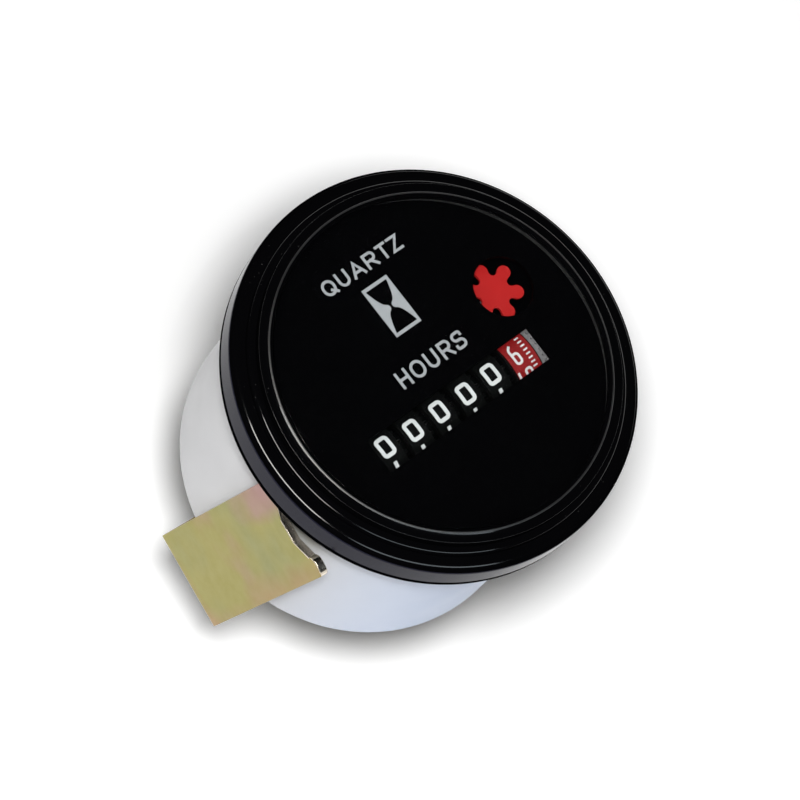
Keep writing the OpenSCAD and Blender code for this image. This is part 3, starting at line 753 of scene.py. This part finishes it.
class HOURMETER_OT_case(bpy.types.Operator):
    """Makes the bezel, lens, dial plate, terminal blades and housing"""
    bl_idname = "hour_meter.case"
    bl_label = "Case"

    def execute(self, context):
        case = context.scene.hour_meter_case
        self.make_bezel(case)
        self.make_lens(case)
        add_copy("dial_plate", 0.05 * MM)
        add_copy("terminal_blades", 0.06 * MM)
        self.make_housing()
        return {"FINISHED"}

    def make_housing(self):
        """The white housing, its inner wall painted black as painted shade, so that no light shows in the dial's
        openings
        """
        housing = add_copy("housing")
        housing.data.materials.append(finish_for("frame_black"))
        # Painted shade: inward faces of the wall beyond 20 mm take the black finish
        for face in housing.data.polygons:
            middle = face.center
            inward = face.normal.x * middle.x + face.normal.y * middle.y < 0
            if inward and math.hypot(middle.x, middle.y) > 20 * MM:
                face.material_index = 1

    def make_bezel(self, case):
        """The stepped bezel, turned from the wall round over the rim, the step, the crown and the bead"""
        outer, low, top = BEZEL_HIGH.x, BEZEL_LOW.z, BEZEL_HIGH.z
        rim_z = top - case.crown_height
        step, step_z, step_foot = 0.6 * MM, rim_z + 0.7 * MM, outer - 2.12 * MM
        opening = LENS_HIGH.x - 1.5 * MM
        bead = case.bead_radius
        bead_at = opening + 0.45 * MM
        bead_start = 40
        flat_z = top - bead * (1 - math.sin(math.radians(bead_start)))
        crown, crown_r = bead_at + 1.5 * MM, 0.06 * MM
        seat_z = LENS_LOW.z + LENS_FLANGE_HEIGHT
        pocket = LENS_HIGH.x + 0.15 * MM
        skirt, back_z = outer - 0.95 * MM, low + 1.2 * MM
        wall, edge_z = 26.15 * MM, low + 1.3 * MM
        roll, rim = case.roll_radius, case.rim_radius
        shade_z = rim_z - rim - 0.05 * MM
        profile = [(wall, low)]
        profile += arc((outer - roll, low + roll), roll, -90, 0, 10)
        profile += [(outer, edge_z), (outer, shade_z)]
        profile += arc((outer - rim, rim_z - rim), rim, 0, 90, 14)
        profile += [(step_foot, rim_z)]
        profile += arc((step_foot - step, step_z - step), step, 0, 90, 10)
        profile += [(crown + 0.02 * MM, step_z)]
        profile += arc((crown - crown_r, flat_z - crown_r), crown_r, 5, 90, 5)
        profile += arc((bead_at, top - bead), bead, bead_start, 180, 14)
        profile += [(bead_at - bead, LENS_HIGH.z + 0.05 * MM), (opening, LENS_HIGH.z + 0.02 * MM)]
        profile += [(opening, seat_z), (pocket, seat_z), (pocket, DIAL_TOP + 0.2 * MM)]
        profile += [(skirt, low + 3.4 * MM), (skirt, back_z), (wall, back_z)]
        bezel = add_piece("bezel_form", lathe("bezel_form", profile, case.turns, 50), "case", "bezel_black",
                          nodes=("bezel",))
        for finish in ("bezel_edge", "bezel_bead", "bezel_wall"):
            bezel.data.materials.append(finish_for(finish))
        gloss, dull_and_painted_shade, lacquer, painted_sheen = range(4)

        def finish_at(reach, height):
            """The finish of a face by its distance from the axis and its height"""
            # Painted shade: the rear edge takes the matt black with no reflection, a dark band standing for the shade
            # under the bezel
            if reach > wall + 0.2 * MM and height < edge_z:
                return dull_and_painted_shade
            # Painted cool reflection: the outer wall takes the bluer black
            if reach > outer - 0.06 * MM:
                return painted_sheen
            if reach > outer - 0.55 * MM and height > shade_z:
                return dull_and_painted_shade
            if reach > outer - 2.3 * MM and rim_z + 0.02 * MM < height < step_z - 0.17 * MM:
                return dull_and_painted_shade
            if reach < bead_at + bead and height > flat_z - 0.3 * MM:
                return lacquer if reach > bead_at - 0.06 * MM else dull_and_painted_shade
            if abs(reach - crown) < 0.1 * MM and step_z < height < flat_z - 0.1 * MM:
                return dull_and_painted_shade
            return gloss

        for face in bezel.data.polygons:
            face.material_index = finish_at(math.hypot(face.center.x, face.center.y), face.center.z)

    def make_lens(self, case):
        """The flat lens with its flange under the bezel"""
        low, top, flange = LENS_LOW.z, LENS_HIGH.z, LENS_HIGH.x
        seat_z = low + LENS_FLANGE_HEIGHT
        edge = flange - 1.65 * MM
        shoulder = 0.06 * MM
        profile = [(0, low), (flange, low), (flange, seat_z), (edge, seat_z)]
        profile += arc((edge - shoulder, top - shoulder), shoulder, 0, 90, 8)
        profile += [(0, top)]
        lens = add_piece("lens_form", lathe("lens_form", profile, case.turns, 50), "case", "lens_clear",
                         nodes=("lens",))
        lens.visible_shadow = False


class HOURMETER_OT_dial_print(bpy.types.Operator):
    """Prints the two words and the hourglass sign on the dial"""
    bl_idname = "hour_meter.dial_print"
    bl_label = "Dial print"

    def execute(self, context):
        marks = context.scene.hour_meter_print
        lower = (("H", -6.12, -4.24), ("O", -3.7, -1.49), ("U", -0.95, 0.96), ("R", 1.59, 3.57), ("S", 4.04, 5.91))
        upper = (("Q", -6.81, -4.68), ("U", -4.14, -2.26), ("A", -1.78, 0.41), ("R", 0.86, 2.84), ("T", 3.32, 5.1),
                 ("Z", 5.36, 7.23))
        self.word("dial_word_lower", lower, 1.315 * MM, 2.6 * MM, 0.41 * MM, marks)
        self.word("dial_word_upper", upper, 17.27 * MM, 2.36 * MM, 0.4 * MM, marks)
        self.hourglass(marks)
        return {"FINISHED"}

    def word(self, name, letters, centre_y, height, stroke, marks):
        bm = bmesh.new()
        for sign, left, right in letters:
            add_sign(bm, sign, ((left + right) / 2 * MM, centre_y), (right - left) * MM, height, stroke, dial_place,
                     marks.ink, 1.0)
        add_piece(name, to_mesh(bm, name), "case", "dial_black", "dial_print")

    def hourglass(self, marks):
        """The frame of the sign is solid print, and its two bulbs and their neck are left bare"""
        centre_x, centre_y = 0.065 * MM, 10.415 * MM
        half_w, half_h, bar = 2.28 * MM, 3.98 * MM, 0.5 * MM
        bulb, throat, neck = 1.88 * MM, 0.35 * MM, 0.2 * MM
        reach, waist = half_h - bar, 0.45 * MM
        steps = 28
        heights = [-reach * math.cos(math.pi * k / (2 * steps)) for k in range(2 * steps + 1)]

        def bare(height):
            away = abs(height)
            if away < waist:
                return neck + (throat - neck) * (away / waist) ** 2
            return throat + (bulb - throat) * math.sqrt((away - waist) / (reach - waist))

        bm = bmesh.new()
        for side in (-1, 1):
            rows = [(0.0, -half_h), (0.0, -reach)] + [(bare(h), h) for h in heights] + [(0.0, reach), (0.0, half_h)]
            self.add_strip(bm, [((centre_x + side * width, centre_y + height),
                                 (centre_x + side * half_w, centre_y + height)) for width, height in rows], marks.ink)
        add_piece("dial_sign", to_mesh(bm, "dial_sign"), "case", "dial_black", "dial_print")

    def add_strip(self, bm, rows, ink):
        """A closed flat strip of print between two edges"""
        rings = [[bm.verts.new(dial_place(*spot, height)) for spot, height in
                  ((row[0], 0), (row[1], 0), (row[1], ink), (row[0], ink))] for row in rows]
        for first, second in zip(rings, rings[1:]):
            for k in range(4):
                bm.faces.new((first[k], first[(k + 1) % 4], second[(k + 1) % 4], second[k]))
        bm.faces.new(rings[0][::-1])
        bm.faces.new(rings[-1])


class HOURMETER_OT_counter(bpy.types.Operator):
    """Makes the number wheels with their digits and minute marks, the drive gear and the indicator star"""
    bl_idname = "hour_meter.counter"
    bl_label = "Counter"

    def execute(self, context):
        marks = context.scene.hour_meter_print
        for index in range(1, 6):
            node = "wheel_%d" % index
            add_copy(node)
            self.print_wheel(node, marks, marks.digit_lifts[index - 1])
        add_copy("drive_gear")
        add_copy("indicator_star", 0.12 * MM)
        self.make_red_wheel(RED_LOW.x + 0.35 * MM)
        self.print_minutes(marks)
        self.print_ticks(0.12 * MM / DRUM_R)
        return {"FINISHED"}

    def make_red_wheel(self, edge):
        """The red wheel with a black left edge and black inner faces, painted shade which keeps the gap beside it dark
        """
        bm = bmesh.new()
        bm.from_mesh(node_copy("tenths_wheel"))
        bmesh.ops.bisect_plane(bm, geom=bm.verts[:] + bm.edges[:] + bm.faces[:], plane_co=(edge, 0, 0),
                               plane_no=(1, 0, 0))
        mesh = to_mesh(bm, "tenths_wheel_form")
        wheel = add_piece("tenths_wheel_form", mesh, "tenths", "wheel_red", nodes=("tenths_wheel",))
        wheel.data.materials.append(finish_for("wheel_black"))
        # Painted shade: faces inside the drum's surface and left of edge take the black finish
        for face in wheel.data.polygons:
            inner = math.hypot(face.center.y - ROW_Y, face.center.z - AXLE_Z) < DRUM_R - 0.05 * MM
            if inner or face.center.x < edge:
                face.material_index = 1

    def print_wheel(self, node, marks, lift):
        """The ten digits of a black wheel"""
        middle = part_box(node)[0].x + 1.65 * MM
        bm = bmesh.new()
        for digit in range(10):
            place = drum_place(lift / DRUM_R - math.radians(DIGIT_DEGREES * digit))
            add_sign(bm, str(digit), (middle, 0), marks.digit_width, marks.digit_height, marks.digit_stroke, place,
                     marks.ink, DRUM_PRINT_STEP)
        name = node + "_digits"
        add_piece(name, to_mesh(bm, name), body_of(node), slot_of(node), "digit_print")

    def print_minutes(self, marks):
        """The minutes of each tenth of an hour on the red wheel"""
        step = 1.62 * MM
        bm = bmesh.new()
        for tenth in range(10):
            place = drum_place(marks.minute_lift / DRUM_R - math.radians(DIGIT_DEGREES * (tenth - 1)))
            letters = str(6 * tenth)
            middle = RED_LOW.x + (1.75 if len(letters) == 1 else 1.5) * MM
            for k, sign in enumerate(letters):
                at = (middle + (k - (len(letters) - 1) / 2) * step, 0)
                add_sign(bm, sign, at, marks.minute_width, marks.minute_height, marks.minute_stroke, place, marks.ink,
                         DRUM_PRINT_STEP)
        add_piece("tenths_wheel_digits", to_mesh(bm, "tenths_wheel_digits"), "tenths", "wheel_red", "digit_print")

    def print_ticks(self, turned):
        """A tick for each minute round the red wheel"""
        tree, given, out = new_group(
            "minute_ticks",
            (("Geometry", "Geometry"), ("Count", "Int"), ("Radius", "Float"), ("Turned", "Float"), ("Size", "Vector"),
             ("Centre", "Vector"), ("Material", "Material")),
            (("Geometry", "Geometry"),), "GeometryNodeTree")
        step = combine(tree, "DIVIDE", 2 * math.pi, given["Count"])
        index = tree.nodes.new("GeometryNodeInputIndex").outputs[0]
        angle = combine(tree, "ADD", combine(tree, "MULTIPLY", index, step), given["Turned"])
        spot = add_node(tree, "ShaderNodeCombineXYZ", {
            "Y": combine(tree, "MULTIPLY", combine(tree, "SINE", angle), given["Radius"]),
            "Z": combine(tree, "MULTIPLY", combine(tree, "COSINE", angle), given["Radius"])})
        turn = add_node(tree, "ShaderNodeCombineXYZ", {"X": combine(tree, "MULTIPLY", angle, -1.0)})
        euler = add_node(tree, "FunctionNodeEulerToRotation", {0: turn.outputs[0]})
        points = add_node(tree, "GeometryNodePoints", {"Count": given["Count"], "Position": spot.outputs[0]})
        mark = add_node(tree, "GeometryNodeMeshCube", {"Size": given["Size"]})
        spread = add_node(tree, "GeometryNodeInstanceOnPoints", {
            "Points": points.outputs[0], "Instance": mark.outputs["Mesh"], "Rotation": euler.outputs[0]})
        moved = add_node(tree, "GeometryNodeTransform", {"Geometry": spread.outputs[0], "Translation": given["Centre"]})
        end_tree(tree, moved.outputs[0], given["Material"], out)
        ticks = run_tree(tree, bpy.data.meshes.new("ticks"), {
            "Count": 60, "Radius": DRUM_R, "Turned": turned, "Size": (0.72 * MM, 0.24 * MM, 0.04 * MM),
            "Centre": (RED_LOW.x + 3.58 * MM, ROW_Y, AXLE_Z), "Material": finish_for("digit_print")})
        add_piece("tenths_wheel_ticks", ticks, "tenths", "wheel_red", "digit_print")


class HOURMETER_OT_clamp(bpy.types.Operator):
    """Makes the clamp bracket, its threaded studs, washers and nuts"""
    bl_idname = "hour_meter.clamp"
    bl_label = "Clamp"

    def execute(self, context):
        add_copy("lock_washers", 0.08 * MM)
        add_copy("stud_nuts", 0.2 * MM)
        self.make_bracket()
        self.make_studs(context.scene.hour_meter_metal.thread_pitch)
        return {"FINISHED"}

    def make_bracket(self):
        """The bracket, with the sheared ends of its feet polished by wear"""
        bracket = add_copy("mounting_bracket", 0.3 * MM)
        bracket.data.materials.append(finish_for("bracket_cut"))
        for face in bracket.data.polygons:
            if face.center.z > -8 * MM and face.normal.z > 0.3:
                face.material_index = 1

    def make_studs(self, pitch):
        """Two headed studs, each a turned core with a spiral thread"""
        head_r, shank_r = 3.4 * MM, 2.0 * MM
        root_r = shank_r - 0.55 * pitch
        low, top = STUD_LOW.z, STUD_HIGH.z
        head_z = top - 1.5 * MM
        thread_top = head_z - 3.6 * MM
        profile = [(0, low), (root_r - 0.35 * MM, low), (root_r, low + 0.35 * MM), (root_r, thread_top)]
        profile += [(shank_r, thread_top + 0.3 * MM), (shank_r, head_z), (head_r - 0.1 * MM, head_z)]
        profile += [(head_r, head_z + 0.1 * MM), (head_r, top - 0.3 * MM), (head_r - 0.3 * MM, top), (0, top)]
        core = lathe("stud_core", profile, 48)
        tree, given, out = new_group(
            "stud_threads",
            (("Geometry", "Geometry"), ("Turns", "Float"), ("Radius", "Float"), ("Length", "Float"), ("Tooth", "Float"),
             ("Start", "Vector"), ("First Stud", "Vector"), ("Spacing", "Vector"), ("Material", "Material")),
            (("Geometry", "Geometry"),), "GeometryNodeTree")
        spiral = add_node(tree, "GeometryNodeCurveSpiral", {
            "Resolution": 24, "Rotations": given["Turns"], "Start Radius": given["Radius"],
            "End Radius": given["Radius"], "Height": given["Length"]})
        tooth = add_node(tree, "GeometryNodeCurvePrimitiveCircle", {"Resolution": 4, "Radius": given["Tooth"]})
        thread = add_node(tree, "GeometryNodeCurveToMesh", {
            "Curve": spiral.outputs[0], "Profile Curve": tooth.outputs[0], "Fill Caps": True})
        lifted = add_node(tree, "GeometryNodeTransform", {"Geometry": thread.outputs[0], "Translation": given["Start"]})
        join = add_node(tree, "GeometryNodeJoinGeometry", {0: given["Geometry"]})
        tree.links.new(lifted.outputs[0], join.inputs[0])
        line = add_node(tree, "GeometryNodeMeshLine", {
            "Count": 2, "Start Location": given["First Stud"], "Offset": given["Spacing"]}, mode="OFFSET")
        spread = add_node(tree, "GeometryNodeInstanceOnPoints", {
            "Points": line.outputs[0], "Instance": join.outputs[0]})
        end_tree(tree, spread.outputs[0], given["Material"], out)
        first = Vector((STUD_LOW.x + head_r, STUD_HIGH.y - head_r, 0))
        second = Vector((STUD_HIGH.x - head_r, STUD_LOW.y + head_r, 0))
        length = thread_top - low - 1.4 * pitch
        tooth_r = 0.52 * pitch
        mesh = run_tree(tree, core, {
            "Turns": length / pitch, "Radius": shank_r - tooth_r, "Length": length, "Tooth": tooth_r,
            "Start": (0, 0, low + 0.9 * pitch), "First Stud": first, "Spacing": second - first,
            "Material": finish_for("stud_zinc")})
        soften(mesh, 40)
        add_piece("mounting_studs_form", mesh, "case", "stud_zinc", nodes=("mounting_studs",))


class HOURMETER_OT_finishes(bpy.types.Operator):
    """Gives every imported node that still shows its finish"""
    bl_idname = "hour_meter.finishes"
    bl_label = "Finishes"

    def execute(self, context):
        for node, obj in frame["nodes"].items():
            obj.data.materials.clear()
            obj.data.materials.append(finish_for(slot_of(node)))
        return {"FINISHED"}


class HOURMETER_OT_studio(bpy.types.Operator):
    """Sets the floor, backdrop, lamps and camera"""
    bl_idname = "hour_meter.studio"
    bl_label = "Studio"

    def execute(self, context):
        studio = context.scene.hour_meter_studio
        self.make_floor(studio)
        self.make_lamps(studio)
        self.make_camera(context, studio)
        world = bpy.data.worlds.new("studio_dark")
        world.use_nodes = True
        world.node_tree.nodes["Background"].inputs["Color"].default_value = (0.6, 0.65, 0.7, 1)
        world.node_tree.nodes["Background"].inputs["Strength"].default_value = 0.004
        context.scene.world = world
        context.scene.view_settings.view_transform = "Standard"
        return {"FINISHED"}

    def make_floor(self, studio):
        """A round floor and the low wall of a backdrop at its edge"""
        ground = cad_low.z - studio.floor_drop
        radius, wall, segments = 2.0, 0.5, 96
        bm = bmesh.new()
        bmesh.ops.create_circle(bm, cap_ends=True, segments=segments, radius=radius)
        bmesh.ops.translate(bm, verts=bm.verts, vec=(0, 0, ground))
        floor_mesh = to_mesh(bm, "floor")
        floor_mesh.materials.append(self.floor_finish(studio, ground))
        bm = bmesh.new()
        angles = [2 * math.pi * i / segments for i in range(segments)]
        rings = [[bm.verts.new((radius * math.cos(a), radius * math.sin(a), ground + h)) for a in angles]
                 for h in (0, wall)]
        for i in range(segments):
            after = (i + 1) % segments
            bm.faces.new((rings[0][i], rings[1][i], rings[1][after], rings[0][after]))
        wall_mesh = bpy.data.meshes.new("backdrop")
        bm.to_mesh(wall_mesh)
        bm.free()
        paint, _, shader = new_material("backdrop_white")
        shader.inputs["Base Color"].default_value = (0.8, 0.8, 0.8, 1)
        shader.inputs["Emission Color"].default_value = (1, 1, 1, 1)
        shader.inputs["Emission Strength"].default_value = 0.75
        wall_mesh.materials.append(paint)
        floor, backdrop = bpy.data.objects.new("floor", floor_mesh), bpy.data.objects.new("backdrop", wall_mesh)
        for obj in (floor, backdrop):
            bpy.context.scene.collection.objects.link(obj)

    def floor_finish(self, studio, ground):
        """White that glows a little as a background, and less in a fixed disc round where the meter's shadow falls, a
        painted shadow
        """
        material, tree, shader = new_material("floor_white")
        place = object_place(tree)
        tone = grey_colour(tree, ramp_between(tree, noise(tree, place, 6.0, 2.0), 0.3, 0.7, 0.985, 1.0))
        tree.links.new(mix_colour(tree, 1.0, tuple(studio.floor_colour), tone, "MULTIPLY"), shader.inputs["Base Color"])
        rays = tree.nodes.new("ShaderNodeLightPath").outputs
        seen = combine(tree, "MAXIMUM", rays["Is Camera Ray"], rays["Is Glossy Ray"])
        seen = combine(tree, "MAXIMUM", seen, rays["Is Transmission Ray"])
        # Painted shadow: the glow drops to 0.03 within shadow_core of this point and rises to full by shadow_rim
        shadow_middle = (0.038, 0.010, ground)
        shadow_core, shadow_rim = 0.036, 0.052
        away = add_node(tree, "ShaderNodeVectorMath", {0: place, 1: shadow_middle}, operation="DISTANCE")
        outside = ramp_between(tree, away.outputs["Value"], shadow_core, shadow_rim, 0.03, 1.0)
        tree.links.new(combine(tree, "MULTIPLY", seen, outside), shader.inputs["Emission Color"])
        shader.inputs["Roughness"].default_value = 0.9
        shader.inputs["Specular IOR Level"].default_value = 0.0
        shader.inputs["Emission Strength"].default_value = studio.floor_glow
        return material

    def make_lamps(self, studio):
        """Two strip lamps that only the gloss shows, and a front lamp that lights colours and casts the shadow"""
        right, up, back = self.camera_axes(studio)
        above, beside = 0.018, 0.01
        front = Vector(studio.aim) + back * studio.front_distance + up * above + right * beside
        lamps = (("key_lamp", Vector((-0.45, 0.09, 0.87)), (0.34, 0.13), studio.lamp_distance, studio.key_power,
                  (1.0, 0.98, 0.94)),
                 ("fill_lamp", Vector((-0.207, -0.546, 0.812)), (0.46, 0.13), studio.lamp_distance, studio.fill_power,
                  (0.82, 0.93, 1.0)),
                 ("front_lamp", front, (0.056, 0.056), front.length, studio.front_power, (1.0, 1.0, 1.0)))
        for name, way, size, distance, power, colour in lamps:
            gloss = name != "front_lamp"
            light = bpy.data.lights.new(name, "AREA")
            light.shape = "RECTANGLE" if gloss else "ELLIPSE"
            light.size, light.size_y = size
            light.energy = power
            light.color = colour
            obj = bpy.data.objects.new(name, light)
            way = way.normalized()
            across = Vector((-way.y, way.x, 0)).normalized()
            turn = Matrix((across, way.cross(across), way)).transposed().to_4x4()
            obj.matrix_world = Matrix.Translation(way * distance) @ turn
            obj.visible_diffuse = not gloss
            obj.visible_glossy = gloss
            obj.visible_transmission = False
            bpy.context.scene.collection.objects.link(obj)

    def camera_axes(self, studio):
        """The camera's own right, up and backward directions"""
        a, e, roll = studio.azimuth, studio.elevation, studio.roll
        back = Vector((math.sin(a) * math.cos(e), -math.cos(a) * math.cos(e), math.sin(e)))
        level = Vector((math.cos(a), math.sin(a), 0))
        above = back.cross(level)
        right = level * math.cos(roll) + above * math.sin(roll)
        up = above * math.cos(roll) - level * math.sin(roll)
        return right, up, back

    def make_camera(self, context, studio):
        right, up, back = self.camera_axes(studio)
        camera = bpy.data.objects.new("camera", bpy.data.cameras.new("camera"))
        camera.data.lens = studio.lens
        camera.data.sensor_width = 36
        camera.data.clip_start = 0.02
        place = Vector(studio.aim) + back * studio.distance
        camera.matrix_world = Matrix.Translation(place) @ Matrix((right, up, back)).transposed().to_4x4()
        context.scene.collection.objects.link(camera)
        context.scene.camera = camera


class HOURMETER_PT_panel(bpy.types.Panel):
    """Lists the meter's settings and the steps that make it"""
    bl_label = "Hour meter"
    bl_idname = "HOURMETER_PT_panel"
    bl_space_type = "VIEW_3D"
    bl_region_type = "UI"
    bl_category = "Hour meter"

    def draw(self, context):
        for name, settings in GROUPS_OF_SETTINGS.items():
            box = self.layout.box()
            for label in settings.__annotations__:
                box.prop(getattr(context.scene, name), label)
        for operator in OPERATORS:
            self.layout.operator(operator.bl_idname)


OPERATORS = (HOURMETER_OT_case, HOURMETER_OT_dial_print, HOURMETER_OT_counter, HOURMETER_OT_clamp,
             HOURMETER_OT_finishes, HOURMETER_OT_studio)
GROUPS_OF_SETTINGS = {
    "hour_meter_case": CaseSettings, "hour_meter_print": PrintSettings,
    "hour_meter_metal": MetalSettings, "hour_meter_studio": StudioSettings,
}


def register():
    for settings in GROUPS_OF_SETTINGS.values():
        bpy.utils.register_class(settings)
    for operator in OPERATORS:
        bpy.utils.register_class(operator)
    bpy.utils.register_class(HOURMETER_PT_panel)
    for name, settings in GROUPS_OF_SETTINGS.items():
        setattr(bpy.types.Scene, name, bpy.props.PointerProperty(type=settings))


def unregister():
    for name in GROUPS_OF_SETTINGS:
        delattr(bpy.types.Scene, name)
    bpy.utils.unregister_class(HOURMETER_PT_panel)
    for operator in reversed(OPERATORS):
        bpy.utils.unregister_class(operator)
    for settings in reversed(list(GROUPS_OF_SETTINGS.values())):
        bpy.utils.unregister_class(settings)


def main():
    register()
    bpy.ops.hour_meter.case()
    bpy.ops.hour_meter.dial_print()
    bpy.ops.hour_meter.counter()
    bpy.ops.hour_meter.clamp()
    bpy.ops.hour_meter.finishes()
    bpy.ops.hour_meter.studio()


if __name__ == "__main__":
    main()
